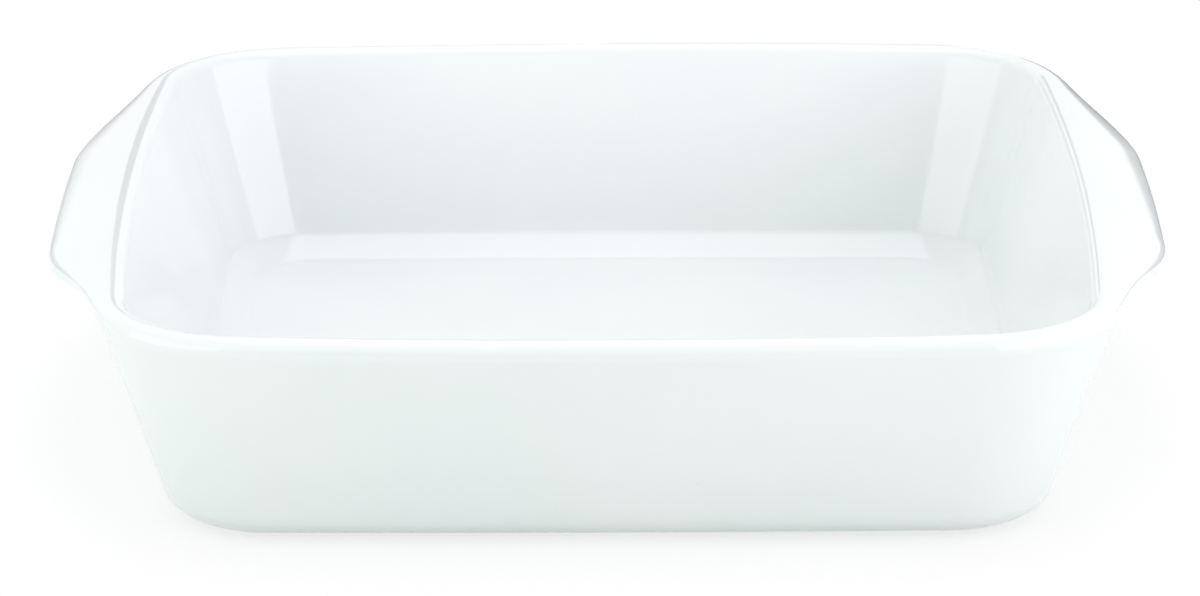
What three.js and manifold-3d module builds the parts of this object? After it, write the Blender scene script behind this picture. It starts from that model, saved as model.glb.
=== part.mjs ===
// Square baking dish in white glazed ceramic, with a lug handle on each of two opposite sides.
// Millimetres, +Z up. The origin is on the table under the middle of the dish, +X towards the right handle.

import * as THREE from "three";
import { mergeVertices } from "three/addons/utils/BufferGeometryUtils.js";
import Module from "manifold-3d";

// Driving dimensions of the bowl of the dish
const rimWidth = 240; // outside of the rim, between the middles of opposite sides
const baseWidth = 204; // outside of the walls, where their lines reach the table
const dishHeight = 55; // table to the crest of the rim
const rimCornerRadius = 35; // in plan, outside
const baseCornerRadius = 24;
const innerCornerRadius = 19; // in plan, inside, where the lines of the walls reach the table
const rimBow = 3; // how far the middle of a side stands out past its ends
const baseBow = 0.5;
const rimThickness = 6.5; // the rim is a full round
const wallAtBase = 8; // thickness of the walls, level, where their lines reach the table
const floorThickness = 3.1;
const coveRadius = 8; // inside, from floor to wall
const heelRadius = 8.5; // outside, from wall to underside
const leastCornerRadius = 2; // a corner offset inwards stays at least this round

// Driving dimensions of the foot that the dish stands on
const footHeight = 1.4;
const footWidth = 6;
const footInset = 5; // from the edge of the flat underside

// Driving dimensions of a handle
const handleReach = 13.3; // beyond the rim, at the middle of the side
const handleFlat = 66; // length over which it has its full reach
const handleLength = 228; // length over which it flows back into the rim
const handleFade = 1.55; // past 1, its ends fall off early and trail out thin along the corners
const handleUndersideFade = 1.8; // past 1, its underside rises into the wall sooner than its top runs out
const handleDroop = 3.8; // fall of its top face from the crest of the rim to the top of its edge
const handleThickness = 7.5; // at its rounded edge
const handleUndercut = 0.15; // rise of its underside from the edge inwards, in radians
const handleRootDepth = 16; // below the crest, where its underside has met the wall
const handleUndersideRun = 0.45; // share of the underside's span that runs on from the edge
const handleRootRun = 0.35; // share of the underside's span that runs along the wall
const handleSeatInset = 2.5; // from the outside of the rim to the flat face where handle meets bowl

// Facets
const shoulder = Math.PI / 5; // angle on the rim's round that matches the end of a handle's top face
const handleSideSteps = 20;
const plainSideSteps = 6;
const cornerSteps = 7;
const curveSteps = 6;

const glazeWhite = 0xf0f4f3;
const biscuitWhite = 0xe3ded2;

// Lines of the section through the middle of a side: x is the distance from the dish's axis, y the height.
const rimRadius = rimThickness / 2;
const rimCentre = new THREE.Vector2(rimWidth / 2 - rimRadius, dishHeight - rimRadius);
const outerFoot = baseWidth / 2;
const innerFoot = outerFoot - wallAtBase;
const floorHeight = footHeight + floorThickness;
const rootHeight = dishHeight - handleRootDepth;

// Lean of a wall line that starts on the table and touches the rim's round: side is 1 outside, -1 inside.
function leanFrom(start, side) {
  const run = rimCentre.x - start;
  const towardsCentre = Math.atan2(run, rimCentre.y);
  return towardsCentre + side * Math.asin(rimRadius / Math.hypot(run, rimCentre.y));
}

const outerLean = leanFrom(outerFoot, 1);
const innerLean = leanFrom(innerFoot, -1);
const outerWallAt = (height) => outerFoot + height * Math.tan(outerLean);
const innerWallAt = (height) => innerFoot + height * Math.tan(innerLean);

// The two faces of the walls in plan, from the table to the rim.
const outside = {
  foot: outerFoot,
  rim: rimWidth / 2,
  footCorner: baseCornerRadius,
  rimCorner: rimCornerRadius,
};
const inside = {
  foot: innerFoot,
  rim: rimWidth / 2 - rimThickness,
  footCorner: innerCornerRadius,
  rimCorner: rimCornerRadius - rimThickness,
};

function arc(centre, radius, from, to) {
  return Array.from({ length: curveSteps + 1 }, (_, i) => {
    const angle = THREE.MathUtils.lerp(from, to, i / curveSteps);
    return new THREE.Vector2(Math.cos(angle), Math.sin(angle)).multiplyScalar(radius).add(centre);
  });
}

function outerWallPoints(top, bottom) {
  return Array.from({ length: curveSteps + 1 }, (_, i) => {
    const height = THREE.MathUtils.lerp(top, bottom, i / curveSteps);
    return new THREE.Vector2(outerWallAt(height), height);
  });
}

// From the edge of the floor up the inside to the crest of the rim.
function insideSection() {
  const coveHeight = floorHeight + coveRadius;
  const coveHalf = innerWallAt(coveHeight) - coveRadius / Math.cos(innerLean);
  const coveCentre = new THREE.Vector2(coveHalf, coveHeight);
  return [
    ...arc(coveCentre, coveRadius, -Math.PI / 2, -innerLean),
    ...arc(rimCentre, rimRadius, Math.PI - innerLean, Math.PI / 2),
  ];
}

// From the crest over the plain rim and down to the height of the handle's root.
function plainSection() {
  const edge = arc(rimCentre, rimRadius, shoulder, -outerLean);
  return [
    ...arc(rimCentre, rimRadius, Math.PI / 2, shoulder).slice(1),
    ...edge.slice(1),
    ...outerWallPoints(edge.at(-1).y, rootHeight).slice(1),
  ];
}

// The same stretch through the middle of a handle: drooping top, round edge, underside swept into the wall.
function handleSection() {
  const edgeRadius = handleThickness / 2;
  const edgeHalf = rimWidth / 2 + handleReach - edgeRadius;
  const edgeCentre = new THREE.Vector2(edgeHalf, dishHeight - handleDroop - edgeRadius);
  const topRun = edgeCentre.x - rimCentre.x;
  const topRadius = edgeRadius + (topRun ** 2 + handleDroop ** 2) / (2 * handleDroop);
  const topCentre = new THREE.Vector2(rimCentre.x, dishHeight - topRadius);
  const topEnd = edgeCentre.clone().sub(topCentre).angle();
  const top = arc(topCentre, topRadius, Math.PI / 2, topEnd);
  const edge = arc(edgeCentre, edgeRadius, topEnd, -Math.PI / 2 - handleUndercut);
  const start = edge.at(-1);
  const end = new THREE.Vector2(outerWallAt(rootHeight), rootHeight);
  const inwards = new THREE.Vector2(-Math.cos(handleUndercut), Math.sin(handleUndercut));
  const upWall = new THREE.Vector2(Math.sin(outerLean), Math.cos(outerLean));
  const span = start.distanceTo(end);
  const underside = new THREE.CubicBezierCurve(
    start,
    start.clone().addScaledVector(inwards, handleUndersideRun * span),
    end.clone().addScaledVector(upWall, handleRootRun * span),
    end,
  );
  return [...top.slice(1), ...edge.slice(1), ...underside.getPoints(curveSteps).slice(1)];
}

// From the height of the handle's root down the wall and round the heel to the flat underside.
function heelSection() {
  const heelHeight = footHeight + heelRadius;
  const heelHalf = outerWallAt(heelHeight) - heelRadius / Math.cos(outerLean);
  const heelCentre = new THREE.Vector2(heelHalf, heelHeight);
  return arc(heelCentre, heelRadius, -outerLean, -Math.PI / 2);
}

// Plan outline whose sides are shallow arcs, tangent to the round corners.
// It starts on the +X side and runs counterclockwise.
function outline(half, cornerRadius, bow) {
  const straight = half - cornerRadius;
  const sideRadius = (straight ** 2 + bow ** 2) / (2 * bow);
  const back = sideRadius - half;
  const cornerAt = (Math.sqrt(2 * (sideRadius - cornerRadius) ** 2 - back ** 2) - back) / 2;
  const sideAngle = Math.atan2(cornerAt, cornerAt + back);
  const points = [];
  for (let quarter = 0; quarter < 4; quarter++) {
    const turn = (quarter * Math.PI) / 2;
    const sideSteps = quarter % 2 ? plainSideSteps : handleSideSteps;
    for (let i = 0; i < sideSteps; i++) {
      const angle = THREE.MathUtils.lerp(-sideAngle, sideAngle, i / sideSteps);
      const point = new THREE.Vector2(sideRadius * Math.cos(angle) - back, sideRadius * Math.sin(angle));
      points.push(point.rotateAround(new THREE.Vector2(), turn));
    }
    for (let i = 0; i < cornerSteps; i++) {
      const angle = THREE.MathUtils.lerp(sideAngle, Math.PI / 2 - sideAngle, i / cornerSteps);
      const point = new THREE.Vector2(Math.cos(angle), Math.sin(angle)).multiplyScalar(cornerRadius);
      points.push(point.addScalar(cornerAt).rotateAround(new THREE.Vector2(), turn));
    }
  }
  return points;
}

// The outline of one face of the dish at a point of its section: corners and bow grow up to the rim.
function outlineAt(face, half, height) {
  const share = Math.min(height / rimCentre.y, 1);
  const inset = THREE.MathUtils.lerp(face.foot, face.rim, share) - half;
  const cornerRadius = THREE.MathUtils.lerp(face.footCorner, face.rimCorner, share) - inset;
  const bow = THREE.MathUtils.lerp(baseBow, rimBow, share);
  return outline(half, Math.max(cornerRadius, leastCornerRadius), bow);
}

// How much of a handle's section each point of an outline has: 1 in its middle, 0 past its ends.
function handleShares() {
  return outlineAt(outside, rimWidth / 2, dishHeight).map((point) => {
    const onHandleSide = Math.abs(point.x) > rimWidth / 4;
    const fade = THREE.MathUtils.smoothstep(Math.abs(point.y), handleFlat / 2, handleLength / 2);
    return onHandleSide ? (1 - fade) ** handleFade : 0;
  });
}

// A closed skin through rings of points that share one count.
// Where the last ring doesn't lead back to the first, both end in a flat cap.
function loft(rings, closed) {
  const count = rings[0].length;
  const positions = rings.flat().flatMap((point) => point.toArray());
  const index = [];
  const rows = closed ? rings.length : rings.length - 1;
  for (let row = 0; row < rows; row++) {
    const next = (row + 1) % rings.length;
    for (let i = 0; i < count; i++) {
      const [a, b] = [row * count + i, row * count + ((i + 1) % count)];
      const [c, d] = [next * count + i, next * count + ((i + 1) % count)];
      index.push(a, c, b, b, c, d);
    }
  }
  if (!closed) {
    for (const [row, flip] of [[0, false], [rings.length - 1, true]]) {
      const middle = positions.length / 3;
      positions.push(0, 0, rings[row][0].z);
      for (let i = 0; i < count; i++) {
        const [a, b] = [row * count + i, row * count + ((i + 1) % count)];
        index.push(...(flip ? [middle, b, a] : [middle, a, b]));
      }
    }
  }
  const geometry = new THREE.BufferGeometry();
  geometry.setAttribute("position", new THREE.Float32BufferAttribute(positions, 3));
  geometry.setIndex(index);
  return geometry;
}

// The power by which a point of a handle's section fades: that of its top, then over its edge to its underside's.
function fadePower(step) {
  const roundEdge = THREE.MathUtils.clamp(step / curveSteps - 1, 0, 1);
  return THREE.MathUtils.lerp(1, handleUndersideFade, roundEdge);
}

// The whole form, bowl and handles in one skin, as it comes out of the mould.
function mouldedForm() {
  const inner = insideSection();
  const plain = [...inner, ...plainSection(), ...heelSection()];
  const pulled = [...inner, ...handleSection(), ...heelSection()];
  const shares = handleShares();
  const rings = plain.map((point, row) => {
    const face = row < inner.length ? inside : outside;
    const pull = pulled[row].clone().sub(point);
    const power = fadePower(row + 1 - inner.length);
    return outlineAt(face, point.x, point.y).map((place, i) => {
      const share = shares[i] ** power;
      const outwards = Math.sign(place.x) * share * pull.x;
      return new THREE.Vector3(place.x + outwards, place.y, point.y + share * pull.y);
    });
  });
  return loft(rings, false);
}

// The low unglazed ring under the heel.
function footRing() {
  const outerHalf = heelSection().at(-1).x - footInset;
  const innerHalf = outerHalf - footWidth;
  const section = [
    [innerHalf, 0],
    [innerHalf, footHeight],
    [outerHalf, footHeight],
    [outerHalf, 0],
  ];
  const rings = section.map(([half, height]) =>
    outlineAt(outside, half, footHeight).map((place) => new THREE.Vector3(place.x, place.y, height)),
  );
  return loft(rings, true);
}

const wasm = await Module();
wasm.setup();

function solidFrom(geometry) {
  geometry.deleteAttribute("normal");
  geometry.deleteAttribute("uv");
  const merged = mergeVertices(geometry);
  return new wasm.Manifold(
    new wasm.Mesh({
      numProp: 3,
      vertProperties: merged.getAttribute("position").array,
      triVerts: new Uint32Array(merged.index.array),
    }),
  );
}

function geometryFrom(solid) {
  const mesh = solid.getMesh();
  const geometry = new THREE.BufferGeometry();
  geometry.setAttribute("position", new THREE.Float32BufferAttribute(mesh.vertProperties, 3));
  geometry.setIndex([...mesh.triVerts]);
  geometry.computeVertexNormals();
  return geometry;
}

// A block from one X to another that reaches past the dish in Y and Z.
function slab(fromX, toX) {
  const reach = 2 * rimWidth;
  const block = new THREE.BoxGeometry(toX - fromX, reach, reach);
  return solidFrom(block.translate((fromX + toX) / 2, 0, 0));
}

const glaze = { color: glazeWhite, roughness: 0.12, metalness: 0 };
const biscuit = { color: biscuitWhite, roughness: 0.85, metalness: 0 };

function named(name, geometry, finish) {
  const mesh = new THREE.Mesh(geometry, new THREE.MeshStandardMaterial(finish));
  mesh.name = name;
  return mesh;
}

const seat = rimWidth / 2 - handleSeatInset;
const beyond = rimWidth / 2 + 2 * handleReach;
const form = solidFrom(mouldedForm());
const dish = new THREE.Group();
dish.add(
  named("basin", geometryFrom(form.intersect(slab(-seat, seat))), glaze),
  named("left_handle", geometryFrom(form.intersect(slab(-beyond, -seat))), glaze),
  named("right_handle", geometryFrom(form.intersect(slab(seat, beyond))), glaze),
  named("foot_ring", footRing(), biscuit),
);

export default dish;
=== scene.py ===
"""Looks of a square white baking dish: one continuous glazed skin in three pieces, and a bare foot ring."""

import math

import bmesh
import bpy
import numpy as np
from mathutils import Matrix, Vector


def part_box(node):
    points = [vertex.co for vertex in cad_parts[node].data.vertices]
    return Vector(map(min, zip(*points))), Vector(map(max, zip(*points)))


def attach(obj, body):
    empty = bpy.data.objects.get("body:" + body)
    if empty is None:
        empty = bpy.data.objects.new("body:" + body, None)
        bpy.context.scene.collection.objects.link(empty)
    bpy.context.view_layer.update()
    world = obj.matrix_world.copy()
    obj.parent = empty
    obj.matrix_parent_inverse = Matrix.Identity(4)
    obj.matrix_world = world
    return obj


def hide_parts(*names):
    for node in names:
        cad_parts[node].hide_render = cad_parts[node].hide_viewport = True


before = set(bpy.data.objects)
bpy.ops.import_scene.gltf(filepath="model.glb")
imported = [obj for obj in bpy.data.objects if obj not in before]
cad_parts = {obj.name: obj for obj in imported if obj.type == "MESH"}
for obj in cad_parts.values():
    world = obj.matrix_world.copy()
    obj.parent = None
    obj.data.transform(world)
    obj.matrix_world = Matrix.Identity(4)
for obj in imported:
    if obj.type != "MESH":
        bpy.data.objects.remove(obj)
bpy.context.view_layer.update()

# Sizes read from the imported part, in metres
basin_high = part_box("basin")[1]
handle_low, handle_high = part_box("right_handle")
foot_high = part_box("foot_ring")[1]
RIM_HALF = basin_high.y
HEIGHT = basin_high.z
SEAT_X = handle_low.x
HANDLE_EDGE_X = handle_high.x
FOOT_TOP = foot_high.z
FOOT_OUTER = foot_high.y

# Sizes that the part's source gives, in metres
BASE_HALF = 0.102
RIM_CORNER = 0.035
BASE_CORNER = 0.024
INNER_BASE_CORNER = 0.019
RIM_BOW = 0.003
BASE_BOW = 0.0005
RIM_THICKNESS = 0.0065
WALL_AT_BASE = 0.008
FLOOR_THICKNESS = 0.0031
COVE_RADIUS = 0.008
HEEL_RADIUS = 0.0085
FOOT_WIDTH = 0.006
HANDLE_FLAT = 0.066
HANDLE_LENGTH = 0.228
HANDLE_FADE = 1.55
HANDLE_UNDERSIDE_FADE = 1.8
HANDLE_DROOP = 0.0038
HANDLE_THICKNESS = 0.0075
HANDLE_UNDERCUT = 0.15
HANDLE_ROOT_DEPTH = 0.016
UNDERSIDE_RUN = 0.45
ROOT_RUN = 0.35

# Fine form that only the dressed dish has, in metres
# The cove's bend is the share of its run that it bends over at either end
COVE_BEND = 0.2
FLOOR_SAG = 0.0003
UNDERSIDE_RISE = 0.0003
GLAZE_LIP_HEIGHT = 0.00025
GLAZE_LIP_WIDTH = 0.0014
FOOT_EDGE_RADIUS = 0.0006
FOOT_SHARP_ANGLE = math.radians(50)
RIM_WAVE = 0.0001
WALL_WAVE = 0.00022

# Lobes of those two waves round the dish: how many, their phase and their share of the wave
RIM_LOBES = ((2, 0.6, 1), (5, 1.9, 0.6))
WALL_LOBES = ((3, 0.4, 1), (7, 2.2, 0.5))

# Plain tones
WHITE = (1, 1, 1)
BLACK = (0, 0, 0)

# The glaze: its two tones and the noise at which each is pure, its roughness, how fine its mottle, gloss,
# ripple and orange peel are per metre, and how high in metres and how strong the last two are
GLAZE_TONES = ((0.838, 0.895, 0.88), (0.861, 0.909, 0.895))
GLAZE_STOPS = (0.35, 0.65)
GLAZE_ROUGHNESS = (0.05, 0.1)
GLAZE_IOR = 1.5
MOTTLE_SCALE = 16
GLOSS_SCALE = 40
RIPPLE_SCALE = 24
RIPPLE_HEIGHT = 0.001
RIPPLE_STRENGTH = 0.06
PEEL_SCALE = 300
PEEL_HEIGHT = 0.0001
PEEL_STRENGTH = 0.08

# Iron specks in the glaze: how far apart and how large in metres, the share of them that is solid,
# and of what colour
SPECK_SPACING = 0.016
SPECK_RADIUS = 0.0003
SPECK_SOLID_SHARE = 0.4
SPECK_COLOUR = (0.76, 0.77, 0.74)

# The bare clay: its two tones and the noise at which each is pure, its roughness, and how fine per metre,
# how high in metres and how strong its grain is
BISCUIT_TONES = ((0.66, 0.61, 0.53), (0.77, 0.73, 0.65))
BISCUIT_STOPS = (0.3, 0.6)
BISCUIT_ROUGHNESS = (0.75, 0.95)
GRAIN_SCALE = 900
GRAIN_HEIGHT = 0.0002
GRAIN_STRENGTH = 0.5

# Where the values of a noise mostly lie, and how many finer layers each noise has
NOISE_LOW = 0.3
NOISE_HIGH = 0.7
MOTTLE_DETAIL = 4
GLOSS_DETAIL = 3
RIPPLE_DETAIL = 1
PEEL_DETAIL = 2
GRAIN_DETAIL = 6

# Steps along the plan outline and along the section, and the angle on the rim's round that matches
# the end of a handle's top
HANDLE_SIDE_STEPS = 112
PLAIN_SIDE_STEPS = 56
CORNER_STEPS = 26
CURVE_STEPS = 16
COVE_STEPS = 28
FLAT_STEPS = 12
SHOULDER = math.pi / 5

# Photograph's camera: pixels of its 1200 by 596 frame, degrees and metres
PHOTO_WIDTH = 1200
FOCAL_PIXELS = 5762
SENSOR_WIDTH_MM = 36
CAMERA_ELEVATION = math.radians(19.02)
CAMERA_ROLL = math.radians(-0.21)
CAMERA_DISTANCE = 1.408
CAMERA_TARGET = Vector((-0.0018, 0, 0.0246))

# The floor: its reach and the hair's breadth under the foot in metres, what it casts back on the dish,
# its roughness and sheen, the share of its look that is plain white beside the dish, and the distances
# in metres from which that grows and at which it is the whole
FLOOR_REACH = 30
FLOOR_DROP = 0.00005
FLOOR_COLOUR = (0.785, 0.832, 0.798)
FLOOR_ROUGHNESS = 0.9
FLOOR_SHEEN = 0.1
FLOOR_WHITE_SHARE = 0.75
FLOOR_WHITE_FROM = 0.15
FLOOR_WHITE_TO = 0.45

# Light that the surroundings cast: evenly, and more from behind the dish and from above
WORLD_EVEN = 0.44
WORLD_BEHIND = 0.5
WORLD_ABOVE = 0.295

# Softboxes: azimuth and elevation in degrees, distance, width and height in metres, radiance and colour
COOL = (1.07, 0.972, 1.08)
SOFTBOXES = {
    "key_softbox": (55, 20, 1.0, 1.25, 0.55, 1.67, COOL),
    "fill_softbox": (-57, 20, 1.0, 1.25, 0.55, 1.21, WHITE),
    "low_right_softbox": (75, 6, 1.0, 0.5, 0.2, 1.0, WHITE),
    "low_left_softbox": (-75, 6, 1.0, 0.5, 0.2, 1.4, WHITE),
    "overhead_softbox": (180, 77, 1.1, 0.5, 1.15, 1.57, COOL),
}

# Flags, the dark cards that the glaze reflects: azimuths of their ends in degrees, distance, height of
# foot and top in metres, tone below, and the height in metres from which they pale to the tone of their tops
FLAGS = {
    "right_flag": (105, 155, 0.3, 0, 0.076, 0.01, 0.066),
    "left_flag": (-105, -155, 0.3, 0, 0.071, 0.4, 0.045),
    "back_right_flag": (160, 180, 0.3, 0, 0.1, 0.4, 0.08),
    "back_left_flag": (-167.5, -178.5, 1.0, 0.3, 0.43, 0.01, 0.42),
    "front_flag": (-23, 23, 0.7, 0, 0.4, 0.25, 0.35),
}
FLAG_TOP_TONE = 0.8
FLAG_STEPS = 24

# Lines of the section through the middle of a side: distance from the axis, height
RIM_RADIUS = RIM_THICKNESS / 2
RIM_CENTRE = np.array((RIM_HALF - RIM_RADIUS, HEIGHT - RIM_RADIUS))
INNER_BASE_HALF = BASE_HALF - WALL_AT_BASE
FLOOR_TOP = FOOT_TOP + FLOOR_THICKNESS
ROOT_HEIGHT = HEIGHT - HANDLE_ROOT_DEPTH


def lean_from(start, side):
    """Lean of a wall line from the table that touches the rim's round: side is 1 outside, -1 inside."""
    run = RIM_CENTRE[0] - start
    towards_centre = math.atan2(run, RIM_CENTRE[1])
    return towards_centre + side * math.asin(RIM_RADIUS / math.hypot(run, RIM_CENTRE[1]))


OUTER_LEAN = lean_from(BASE_HALF, 1)
INNER_LEAN = lean_from(INNER_BASE_HALF, -1)


def outer_wall_at(height):
    """Distance of the outside of a wall from the axis, at a height."""
    return BASE_HALF + height * math.tan(OUTER_LEAN)


def inner_wall_at(height):
    """Distance of the inside of a wall from the axis, at a height."""
    return INNER_BASE_HALF + height * math.tan(INNER_LEAN)


# The two faces of the walls in plan: half width and corner radius at the table and at the rim
OUTSIDE = {
    "half": (BASE_HALF, RIM_HALF),
    "corner": (BASE_CORNER, RIM_CORNER),
}
INSIDE = {
    "half": (INNER_BASE_HALF, RIM_HALF - RIM_THICKNESS),
    "corner": (INNER_BASE_CORNER, RIM_CORNER - RIM_THICKNESS),
}


def arc(centre, radius, start, end, steps=CURVE_STEPS):
    """Points on a round stretch, between two angles."""
    angles = np.linspace(start, end, steps + 1)
    return np.asarray(centre) + radius * np.column_stack((np.cos(angles), np.sin(angles)))


def line(start, end, steps):
    """Points on a straight stretch, with both its ends."""
    shares = np.linspace(0, 1, steps + 1)[:, None]
    return np.asarray(start) * (1 - shares) + np.asarray(end) * shares


def bezier(points, steps=CURVE_STEPS):
    """Points on a curve with four control points."""
    t = np.linspace(0, 1, steps + 1)[:, None]
    a, b, c, d = points
    return (1 - t) ** 3 * a + 3 * (1 - t) ** 2 * t * b + 3 * (1 - t) * t**2 * c + t**3 * d


def inside_section():
    """From the edge of the floor up the inside to the crest of the rim."""
    corner = np.array((inner_wall_at(FLOOR_TOP), FLOOR_TOP))
    run = COVE_RADIUS * math.tan((math.pi / 2 - INNER_LEAN) / 2)
    floor_end = corner - (run, 0)
    wall_end = corner + run * np.array((math.sin(INNER_LEAN), math.cos(INNER_LEAN)))
    controls = (
        floor_end,
        floor_end + COVE_BEND * (corner - floor_end),
        wall_end + COVE_BEND * (corner - wall_end),
        wall_end,
    )
    cove = bezier(controls, COVE_STEPS)
    rim = arc(RIM_CENTRE, RIM_RADIUS, math.pi - INNER_LEAN, math.pi / 2)
    wall = line(cove[-1], rim[0], FLAT_STEPS)
    return np.vstack((cove, wall[1:-1], rim))


def plain_section():
    """From the crest over the plain rim and down to the height of the handle's root."""
    top = arc(RIM_CENTRE, RIM_RADIUS, math.pi / 2, SHOULDER)
    edge = arc(RIM_CENTRE, RIM_RADIUS, SHOULDER, -OUTER_LEAN)
    wall = line(edge[-1], (outer_wall_at(ROOT_HEIGHT), ROOT_HEIGHT), CURVE_STEPS)
    return np.vstack((top[1:], edge[1:], wall[1:]))


def handle_section():
    """The same stretch through a handle: drooping top, round edge, underside swept into the wall."""
    edge_radius = HANDLE_THICKNESS / 2
    edge_centre = np.array((HANDLE_EDGE_X - edge_radius, HEIGHT - HANDLE_DROOP - edge_radius))
    top_run = edge_centre[0] - RIM_CENTRE[0]
    top_radius = edge_radius + (top_run**2 + HANDLE_DROOP**2) / (2 * HANDLE_DROOP)
    top_centre = np.array((RIM_CENTRE[0], HEIGHT - top_radius))
    top_end = math.atan2(edge_centre[1] - top_centre[1], top_run)
    top = arc(top_centre, top_radius, math.pi / 2, top_end)
    edge = arc(edge_centre, edge_radius, top_end, -math.pi / 2 - HANDLE_UNDERCUT)
    root = np.array((outer_wall_at(ROOT_HEIGHT), ROOT_HEIGHT))
    inwards = np.array((-math.cos(HANDLE_UNDERCUT), math.sin(HANDLE_UNDERCUT)))
    up_wall = np.array((math.sin(OUTER_LEAN), math.cos(OUTER_LEAN)))
    span = np.linalg.norm(root - edge[-1])
    controls = (
        edge[-1],
        edge[-1] + inwards * UNDERSIDE_RUN * span,
        root + up_wall * ROOT_RUN * span,
        root,
    )
    return np.vstack((top[1:], edge[1:], bezier(controls)[1:]))


def fade_powers():
    """How fast each point of that stretch fades, as a power: the underside sooner than the top."""
    edge = np.linspace(1, HANDLE_UNDERSIDE_FADE, CURVE_STEPS + 1)
    return np.concatenate((np.ones(CURVE_STEPS), edge[1:], np.full(CURVE_STEPS, HANDLE_UNDERSIDE_FADE)))


def heel_section():
    """From the height of the handle's root down the wall and round the heel to the flat underside."""
    heel_height = FOOT_TOP + HEEL_RADIUS
    heel_centre = (outer_wall_at(heel_height) - HEEL_RADIUS / math.cos(OUTER_LEAN), heel_height)
    heel = arc(heel_centre, HEEL_RADIUS, -OUTER_LEAN, -math.pi / 2)
    wall = line((outer_wall_at(ROOT_HEIGHT), ROOT_HEIGHT), heel[0], FLAT_STEPS)
    return np.vstack((wall[1:-1], heel))


def glaze_lip(foot_side):
    """The soft roll in which the glaze ends beside the foot ring, from one side of it to the other."""
    shares = np.linspace(0, 1, FLAT_STEPS + 1)
    halves = foot_side + GLAZE_LIP_WIDTH * (0.5 - shares)
    heights = FOOT_TOP - GLAZE_LIP_HEIGHT * np.sin(np.pi * shares) ** 2
    return np.column_stack((halves, heights))


def outline(half, corner_radius, bow):
    """Plan outline whose sides are shallow arcs, tangent to the round corners, from the +X side round."""
    straight = half - corner_radius
    side_radius = (straight**2 + bow**2) / (2 * bow)
    back = side_radius - half
    corner_at = (math.sqrt(2 * (side_radius - corner_radius) ** 2 - back**2) - back) / 2
    side_angle = math.atan2(corner_at, corner_at + back)
    corner = arc((corner_at, corner_at), corner_radius, side_angle, math.pi / 2 - side_angle, CORNER_STEPS)
    quarters = []
    for quarter in range(4):
        steps = PLAIN_SIDE_STEPS if quarter % 2 else HANDLE_SIDE_STEPS
        side = arc((-back, 0), side_radius, -side_angle, side_angle, steps)
        points = np.vstack((side[:-1], corner[:-1]))
        turn = quarter * math.pi / 2
        spin = np.array(((math.cos(turn), math.sin(turn)), (-math.sin(turn), math.cos(turn))))
        quarters.append(points @ spin)
    return np.vstack(quarters)


def ring_at(face, half, height):
    """One level of a face of the dish, as points in space: corners and bow grow up to the rim."""
    share = min(height / RIM_CENTRE[1], 1)
    inset = np.interp(share, (0, 1), face["half"]) - half
    corner_radius = np.interp(share, (0, 1), face["corner"]) - inset
    bow = np.interp(share, (0, 1), (BASE_BOW, RIM_BOW))
    plan = outline(half, corner_radius, bow)
    return np.column_stack((plan, np.full(len(plan), height)))


def handle_shares(rim_ring):
    """How much of a handle's section each point of an outline has: 1 in its middle, 0 past its ends."""
    run = (np.abs(rim_ring[:, 1]) - HANDLE_FLAT / 2) / (HANDLE_LENGTH / 2 - HANDLE_FLAT / 2)
    t = np.clip(run, 0, 1)
    shares = (1 - t * t * (3 - 2 * t)) ** HANDLE_FADE
    shares[np.abs(rim_ring[:, 0]) < RIM_HALF / 2] = 0
    return shares


def flat_rings(edge_ring, rise):
    """Rings that shrink from an edge to the middle of a flat, which lies off its plane by rise there."""
    rings = []
    for share in np.linspace(1, 0, FLAT_STEPS + 1)[1:-1]:
        ring = edge_ring * (share, share, 1)
        ring[:, 2] += rise * (1 - share**2)
        rings.append(ring)
    return rings


def moulded_rings():
    """Rings of the whole skin from the middle of the floor, over the rim, to the middle of the underside."""
    inner = inside_section()
    heel = heel_section()
    plain = plain_section()
    pull = handle_section() - plain
    top_shares = handle_shares(ring_at(OUTSIDE, RIM_HALF, HEIGHT))
    rings = [ring_at(INSIDE, *point) for point in inner]
    for point, (pull_out, pull_up), power in zip(plain, pull, fade_powers()):
        shares = top_shares**power
        ring = ring_at(OUTSIDE, *point)
        ring[:, 0] += np.sign(ring[:, 0]) * shares * pull_out
        ring[:, 2] += shares * pull_up
        rings.append(ring)
    lips = np.vstack((glaze_lip(FOOT_OUTER), glaze_lip(FOOT_OUTER - FOOT_WIDTH)))
    rings += [ring_at(OUTSIDE, *point) for point in np.vstack((heel, lips))]
    floor = flat_rings(rings[0], -FLOOR_SAG)[::-1]
    underside = flat_rings(rings[-1], UNDERSIDE_RISE)
    return floor, rings, underside


def wander(turn, lobes):
    """The sum of the lobes at an angle round the dish."""
    return sum(part * np.sin(count * turn + phase) for count, phase, part in lobes)


def wave(points):
    """The slight unevenness of fired clay: the rim's height and the walls' swell wander round the dish."""
    turn = np.arctan2(points[..., 1], points[..., 0])
    share = np.clip(points[..., 2] / HEIGHT, 0, 1)
    crest = sum(part for count, phase, part in RIM_LOBES)
    lift = RIM_WAVE * share**2 * (wander(turn, RIM_LOBES) - crest)
    swell = WALL_WAVE * np.sin(np.pi * share) * wander(turn, WALL_LOBES)
    across = np.hypot(points[..., 0], points[..., 1])
    moved = points.copy()
    moved[..., 0] += swell * points[..., 0] / across
    moved[..., 1] += swell * points[..., 1] / across
    moved[..., 2] += lift
    return moved


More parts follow.
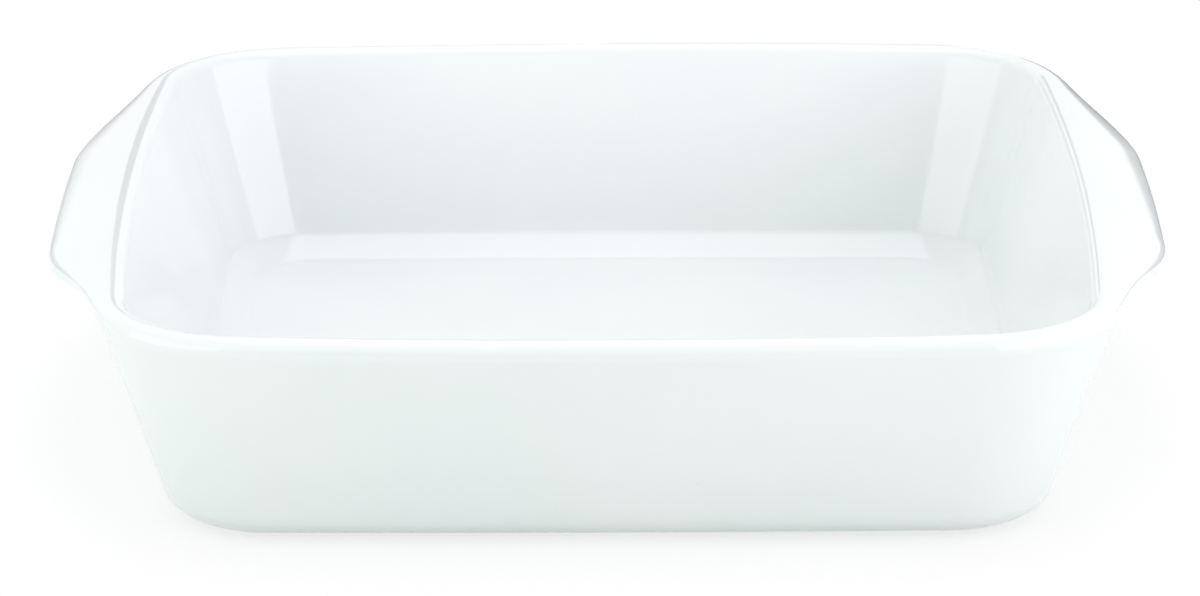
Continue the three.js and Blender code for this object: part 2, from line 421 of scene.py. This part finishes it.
def skin_mesh():
    """The whole glazed skin as one closed mesh."""
    floor, rings, underside = moulded_rings()
    levels = wave(np.array(floor + rings + underside))
    rows, count = levels.shape[:2]
    top_middle = (0, 0, FLOOR_TOP - FLOOR_SAG)
    bottom_middle = (0, 0, FOOT_TOP + UNDERSIDE_RISE)
    vertices = np.vstack((levels.reshape(-1, 3), (top_middle, bottom_middle)))
    faces = []
    for i in range(count):
        j = (i + 1) % count
        faces.append((rows * count, i, j))
        faces.append((rows * count + 1, (rows - 1) * count + j, (rows - 1) * count + i))
        for row in range(rows - 1):
            here, there = row * count, (row + 1) * count
            faces.append((here + i, there + i, there + j, here + j))
    mesh = bpy.data.meshes.new("moulded_skin")
    mesh.from_pydata(vertices.tolist(), [], faces)
    mesh.shade_smooth()
    return mesh


def skin_piece(name, whole, keep):
    """The faces of the whole skin that keep chooses, closed at the cut, shaded as if it weren't there."""
    part = whole.copy()
    others = [face for face in part.faces if not keep(face.calc_center_median().x)]
    bmesh.ops.delete(part, geom=others, context="FACES")
    normals = {tuple(v.co): v.normal.copy() for v in whole.verts}
    skin_count = len(part.faces)
    rim_edges = [e for e in part.edges if e.is_boundary]
    if rim_edges:
        bmesh.ops.holes_fill(part, edges=rim_edges)
    part.normal_update()
    mesh = bpy.data.meshes.new(name)
    part.to_mesh(mesh)
    part.free()
    corners = []
    for polygon in mesh.polygons:
        on_cut = polygon.index >= skin_count
        for vertex in polygon.vertices:
            smooth = normals[tuple(mesh.vertices[vertex].co)]
            corners.append(polygon.normal.copy() if on_cut else smooth)
    mesh.shade_smooth()
    mesh.normals_split_custom_set(corners)
    piece = bpy.data.objects.new(name, mesh)
    bpy.context.scene.collection.objects.link(piece)
    return piece


def skin_pieces():
    """Bowl and handles, parted on the flat faces where the part's solids meet."""
    whole = bmesh.new()
    whole.from_mesh(skin_mesh())
    for side in (-1, 1):
        everything = whole.verts[:] + whole.edges[:] + whole.faces[:]
        bmesh.ops.bisect_plane(whole, geom=everything, plane_co=(side * SEAT_X, 0, 0), plane_no=(side, 0, 0))
    bmesh.ops.recalc_face_normals(whole, faces=whole.faces)
    whole.normal_update()
    pieces = {
        "basin": skin_piece("glazed_basin", whole, lambda x: abs(x) < SEAT_X),
        "left_handle": skin_piece("glazed_left_handle", whole, lambda x: x < -SEAT_X),
        "right_handle": skin_piece("glazed_right_handle", whole, lambda x: x > SEAT_X),
    }
    whole.free()
    return pieces


def foot_piece():
    """The bare ring that the dish stands on, with its edges worn round."""
    inner = FOOT_OUTER - FOOT_WIDTH
    radius = FOOT_EDGE_RADIUS
    section = np.vstack((
        ((FOOT_OUTER, FOOT_TOP),),
        arc((FOOT_OUTER - radius, radius), radius, 0, -math.pi / 2),
        arc((inner + radius, radius), radius, -math.pi / 2, -math.pi),
        ((inner, FOOT_TOP),),
    ))
    levels = []
    for half, height in section:
        ring = ring_at(OUTSIDE, half, FOOT_TOP)
        ring[:, 2] = height
        levels.append(ring)
    count = len(levels[0])
    faces = []
    for row in range(len(levels)):
        here, there = row * count, (row + 1) % len(levels) * count
        for i in range(count):
            j = (i + 1) % count
            faces.append((here + i, here + j, there + j, there + i))
    mesh = bpy.data.meshes.new("bare_foot_ring")
    mesh.from_pydata(np.vstack(levels).tolist(), [], faces)
    mesh.shade_smooth()
    mesh.set_sharp_from_angle(angle=FOOT_SHARP_ANGLE)
    piece = bpy.data.objects.new("bare_foot_ring", mesh)
    bpy.context.scene.collection.objects.link(piece)
    return piece


def new_material(name):
    """A material with its nodes, links and main shader."""
    material = bpy.data.materials.new(name)
    material.use_nodes = True
    nodes = material.node_tree.nodes
    return material, nodes, material.node_tree.links, nodes["Principled BSDF"]


def add_noise(nodes, links, coordinates, scale, detail):
    """Noise with so many grains per metre."""
    noise = nodes.new("ShaderNodeTexNoise")
    noise.inputs["Scale"].default_value = scale
    noise.inputs["Detail"].default_value = detail
    links.new(coordinates, noise.inputs["Vector"])
    return noise.outputs["Fac"]


def add_range(nodes, links, value, low, high):
    """Value, which noise keeps near the middle of 0 to 1, spread from low to high."""
    spread = nodes.new("ShaderNodeMapRange")
    spread.inputs["From Min"].default_value = NOISE_LOW
    spread.inputs["From Max"].default_value = NOISE_HIGH
    spread.inputs["To Min"].default_value = low
    spread.inputs["To Max"].default_value = high
    links.new(value, spread.inputs["Value"])
    return spread.outputs["Result"]


def add_ramp(nodes, links, value, *stops):
    """Value turned into the colours of the stops, each of which is a position and a colour."""
    ramp = nodes.new("ShaderNodeValToRGB")
    elements = ramp.color_ramp.elements
    while len(elements) < len(stops):
        elements.new(0.5)
    for element, (position, colour) in zip(elements, stops):
        element.position = position
        element.color = (*colour, 1)
    links.new(value, ramp.inputs["Fac"])
    return ramp.outputs["Color"]


def add_bump(nodes, links, height, distance, strength, under=None):
    """A surface roughened by height, on top of the one under it."""
    bump = nodes.new("ShaderNodeBump")
    bump.inputs["Distance"].default_value = distance
    bump.inputs["Strength"].default_value = strength
    links.new(height, bump.inputs["Height"])
    if under:
        links.new(under, bump.inputs["Normal"])
    return bump.outputs["Normal"]


def add_specks(nodes, links, coordinates, colour):
    """Colour with a few small iron specks in it, where cells of a coarse grain come to the surface."""
    cells = nodes.new("ShaderNodeTexVoronoi")
    cells.inputs["Scale"].default_value = 1 / SPECK_SPACING
    links.new(coordinates, cells.inputs["Vector"])
    core = SPECK_RADIUS / SPECK_SPACING
    stops = ((SPECK_SOLID_SHARE * core, WHITE), (core, BLACK))
    share = add_ramp(nodes, links, cells.outputs["Distance"], *stops)
    mix = nodes.new("ShaderNodeMixRGB")
    mix.inputs["Color2"].default_value = (*SPECK_COLOUR, 1)
    links.new(share, mix.inputs["Fac"])
    links.new(colour, mix.inputs["Color1"])
    return mix.outputs["Color"]


def glaze_material():
    """Glossy white glaze with faint mottling, a few specks, a long ripple and fine orange peel."""
    material, nodes, links, shader = new_material("white_glaze")
    coordinates = nodes.new("ShaderNodeTexCoord").outputs["Object"]
    mottle = add_noise(nodes, links, coordinates, MOTTLE_SCALE, MOTTLE_DETAIL)
    colour = add_ramp(nodes, links, mottle, *zip(GLAZE_STOPS, GLAZE_TONES))
    links.new(add_specks(nodes, links, coordinates, colour), shader.inputs["Base Color"])
    gloss = add_noise(nodes, links, coordinates, GLOSS_SCALE, GLOSS_DETAIL)
    links.new(add_range(nodes, links, gloss, *GLAZE_ROUGHNESS), shader.inputs["Roughness"])
    swells = add_noise(nodes, links, coordinates, RIPPLE_SCALE, RIPPLE_DETAIL)
    ripple = add_bump(nodes, links, swells, RIPPLE_HEIGHT, RIPPLE_STRENGTH)
    pits = add_noise(nodes, links, coordinates, PEEL_SCALE, PEEL_DETAIL)
    peel = add_bump(nodes, links, pits, PEEL_HEIGHT, PEEL_STRENGTH, ripple)
    links.new(peel, shader.inputs["Normal"])
    shader.inputs["IOR"].default_value = GLAZE_IOR
    return material


def biscuit_material():
    """Bare fired clay: warm white and matt, with a fine grain."""
    material, nodes, links, shader = new_material("bare_biscuit")
    coordinates = nodes.new("ShaderNodeTexCoord").outputs["Object"]
    grain = add_noise(nodes, links, coordinates, GRAIN_SCALE, GRAIN_DETAIL)
    colour = add_ramp(nodes, links, grain, *zip(BISCUIT_STOPS, BISCUIT_TONES))
    links.new(colour, shader.inputs["Base Color"])
    links.new(add_range(nodes, links, grain, *BISCUIT_ROUGHNESS), shader.inputs["Roughness"])
    rough = add_bump(nodes, links, grain, GRAIN_HEIGHT, GRAIN_STRENGTH)
    links.new(rough, shader.inputs["Normal"])
    return material


def add_seen(nodes, links):
    """1 for rays that show a thing to the camera, straight or through gloss and glass, and 0 for others."""
    path = nodes.new("ShaderNodeLightPath")
    seen = path.outputs["Is Camera Ray"]
    for ray in ("Is Glossy Ray", "Is Transmission Ray"):
        either = nodes.new("ShaderNodeMath")
        either.operation = "MAXIMUM"
        links.new(seen, either.inputs[0])
        links.new(path.outputs[ray], either.inputs[1])
        seen = either.outputs["Value"]
    return seen


def add_white_share(nodes, links):
    """How much of the floor's look is plain white: all of it at a distance from the dish."""
    away = nodes.new("ShaderNodeVectorMath")
    away.operation = "LENGTH"
    links.new(nodes.new("ShaderNodeTexCoord").outputs["Object"], away.inputs[0])
    spread = nodes.new("ShaderNodeMapRange")
    spread.inputs["From Min"].default_value = FLOOR_WHITE_FROM
    spread.inputs["From Max"].default_value = FLOOR_WHITE_TO
    spread.inputs["To Min"].default_value = FLOOR_WHITE_SHARE
    spread.inputs["To Max"].default_value = 1
    links.new(away.outputs["Value"], spread.inputs["Value"])
    return spread.outputs["Result"]


def floor_material():
    """Pale floor that keeps a soft shadow: part of its look is white, whatever light falls on it."""
    material, nodes, links, shader = new_material("pale_floor")
    shader.inputs["Roughness"].default_value = FLOOR_ROUGHNESS
    shader.inputs["Specular IOR Level"].default_value = FLOOR_SHEEN
    seen = add_seen(nodes, links)
    colour = add_ramp(nodes, links, seen, (0, FLOOR_COLOUR), (1, WHITE))
    links.new(colour, shader.inputs["Base Color"])
    share = nodes.new("ShaderNodeMath")
    share.operation = "MULTIPLY"
    links.new(seen, share.inputs[0])
    links.new(add_white_share(nodes, links), share.inputs[1])
    white = nodes.new("ShaderNodeEmission")
    mix = nodes.new("ShaderNodeMixShader")
    links.new(share.outputs["Value"], mix.inputs["Fac"])
    links.new(shader.outputs["BSDF"], mix.inputs[1])
    links.new(white.outputs["Emission"], mix.inputs[2])
    links.new(mix.outputs["Shader"], nodes["Material Output"].inputs["Surface"])
    return material


def add_floor():
    """The ground that the dish stands on."""
    mesh = bpy.data.meshes.new("floor")
    ways = ((-1, -1), (1, -1), (1, 1), (-1, 1))
    corners = [(x * FLOOR_REACH, y * FLOOR_REACH, -FLOOR_DROP) for x, y in ways]
    mesh.from_pydata(corners, [], [(0, 1, 2, 3)])
    floor = bpy.data.objects.new("floor", mesh)
    floor.data.materials.append(floor_material())
    bpy.context.scene.collection.objects.link(floor)


def bearing(azimuth, elevation):
    """Direction from the dish, in degrees: azimuth 0 is towards the camera, 90 towards the right handle."""
    turn, rise = math.radians(azimuth), math.radians(elevation)
    return Vector((math.sin(turn) * math.cos(rise), -math.cos(turn) * math.cos(rise), math.sin(rise)))


def add_softbox(name, azimuth, elevation, distance, width, height, radiance, colour):
    """A rectangular lamp that faces the dish."""
    lamp = bpy.data.lights.new(name, "AREA")
    lamp.shape = "RECTANGLE"
    lamp.size = width
    lamp.size_y = height
    lamp.energy = radiance * math.pi * width * height
    lamp.color = colour
    softbox = bpy.data.objects.new(name, lamp)
    way = bearing(azimuth, elevation)
    softbox.location = way * distance
    softbox.rotation_euler = (-way).to_track_quat("-Z", "Y").to_euler()
    softbox.visible_camera = False
    bpy.context.scene.collection.objects.link(softbox)


def flag_material(top, dark, fade_from):
    """Matt card that is dark below the height fade_from, and pales from there to its top."""
    material, nodes, links, shader = new_material("dark_card")
    place = nodes.new("ShaderNodeSeparateXYZ")
    links.new(nodes.new("ShaderNodeTexCoord").outputs["Object"], place.inputs["Vector"])
    fade = nodes.new("ShaderNodeMapRange")
    fade.inputs["From Min"].default_value = fade_from
    fade.inputs["From Max"].default_value = top
    links.new(place.outputs["Z"], fade.inputs["Value"])
    colour = add_ramp(nodes, links, fade.outputs["Result"], (0, (dark,) * 3), (1, (FLAG_TOP_TONE,) * 3))
    links.new(colour, shader.inputs["Base Color"])
    shader.inputs["Roughness"].default_value = 1
    shader.inputs["Specular IOR Level"].default_value = 0
    return material


def add_flag(name, start, end, distance, foot, top, dark, fade_from):
    """A bent upright card that only shows in the glaze, where it draws the edges of the dish."""
    ways = [bearing(azimuth, 0) * distance for azimuth in np.linspace(start, end, FLAG_STEPS + 1)]
    corners = [(way.x, way.y, height) for height in (foot, top) for way in ways]
    faces = [(i, i + 1, FLAG_STEPS + 2 + i, FLAG_STEPS + 1 + i) for i in range(FLAG_STEPS)]
    mesh = bpy.data.meshes.new(name)
    mesh.from_pydata(corners, [], faces)
    flag = bpy.data.objects.new(name, mesh)
    flag.data.materials.append(flag_material(top, dark, fade_from))
    flag.visible_camera = False
    flag.visible_diffuse = False
    flag.visible_shadow = False
    bpy.context.scene.collection.objects.link(flag)


def add_world():
    """Surroundings that are seen white, and cast an even light, more from behind the dish and from above."""
    world = bpy.data.worlds.new("studio")
    world.use_nodes = True
    nodes, links = world.node_tree.nodes, world.node_tree.links
    way = nodes.new("ShaderNodeSeparateXYZ")
    links.new(nodes.new("ShaderNodeTexCoord").outputs["Generated"], way.inputs["Vector"])
    strength = None
    for axis, share in (("Y", WORLD_BEHIND), ("Z", WORLD_ABOVE)):
        facing = nodes.new("ShaderNodeMath")
        facing.operation = "MAXIMUM"
        facing.inputs[1].default_value = 0
        links.new(way.outputs[axis], facing.inputs[0])
        add = nodes.new("ShaderNodeMath")
        add.operation = "MULTIPLY_ADD"
        add.inputs[1].default_value = share
        add.inputs[2].default_value = WORLD_EVEN
        links.new(facing.outputs["Value"], add.inputs[0])
        if strength:
            links.new(strength, add.inputs[2])
        strength = add.outputs["Value"]
    light = nodes["Background"]
    light.inputs["Color"].default_value = (*WHITE, 1)
    links.new(strength, light.inputs["Strength"])
    white = nodes.new("ShaderNodeBackground")
    white.inputs["Color"].default_value = (*WHITE, 1)
    mix = nodes.new("ShaderNodeMixShader")
    links.new(add_seen(nodes, links), mix.inputs["Fac"])
    links.new(light.outputs["Background"], mix.inputs[1])
    links.new(white.outputs["Background"], mix.inputs[2])
    links.new(mix.outputs["Shader"], nodes["World Output"].inputs["Surface"])
    bpy.context.scene.world = world


def add_camera():
    """A long lens at the photograph's angle, aimed at the middle of the dish."""
    data = bpy.data.cameras.new("camera")
    data.sensor_fit = "HORIZONTAL"
    data.sensor_width = SENSOR_WIDTH_MM
    data.lens = SENSOR_WIDTH_MM * FOCAL_PIXELS / PHOTO_WIDTH
    camera = bpy.data.objects.new("camera", data)
    backwards = Vector((0, -math.cos(CAMERA_ELEVATION), math.sin(CAMERA_ELEVATION)))
    level_right = Vector((1, 0, 0))
    level_up = backwards.cross(level_right)
    right = level_right * math.cos(CAMERA_ROLL) + level_up * math.sin(CAMERA_ROLL)
    up = backwards.cross(right)
    turn = Matrix((right, up, backwards)).transposed().to_4x4()
    camera.matrix_world = Matrix.Translation(CAMERA_TARGET + backwards * CAMERA_DISTANCE) @ turn
    bpy.context.scene.collection.objects.link(camera)
    bpy.context.scene.camera = camera


def dress():
    """Give each piece its material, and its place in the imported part."""
    glaze = glaze_material()
    for node, piece in skin_pieces().items():
        piece.data.materials.append(glaze)
        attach(piece, "root")
        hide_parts(node)
    foot = foot_piece()
    foot.data.materials.append(biscuit_material())
    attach(foot, "root")
    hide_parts("foot_ring")


def light():
    """Surroundings, lamps and the cards that the glaze reflects."""
    add_world()
    for name, values in SOFTBOXES.items():
        add_softbox(name, *values)
    for name, values in FLAGS.items():
        add_flag(name, *values)


add_camera()
dress()
add_floor()
light()
bpy.context.scene.view_settings.view_transform = "Standard"
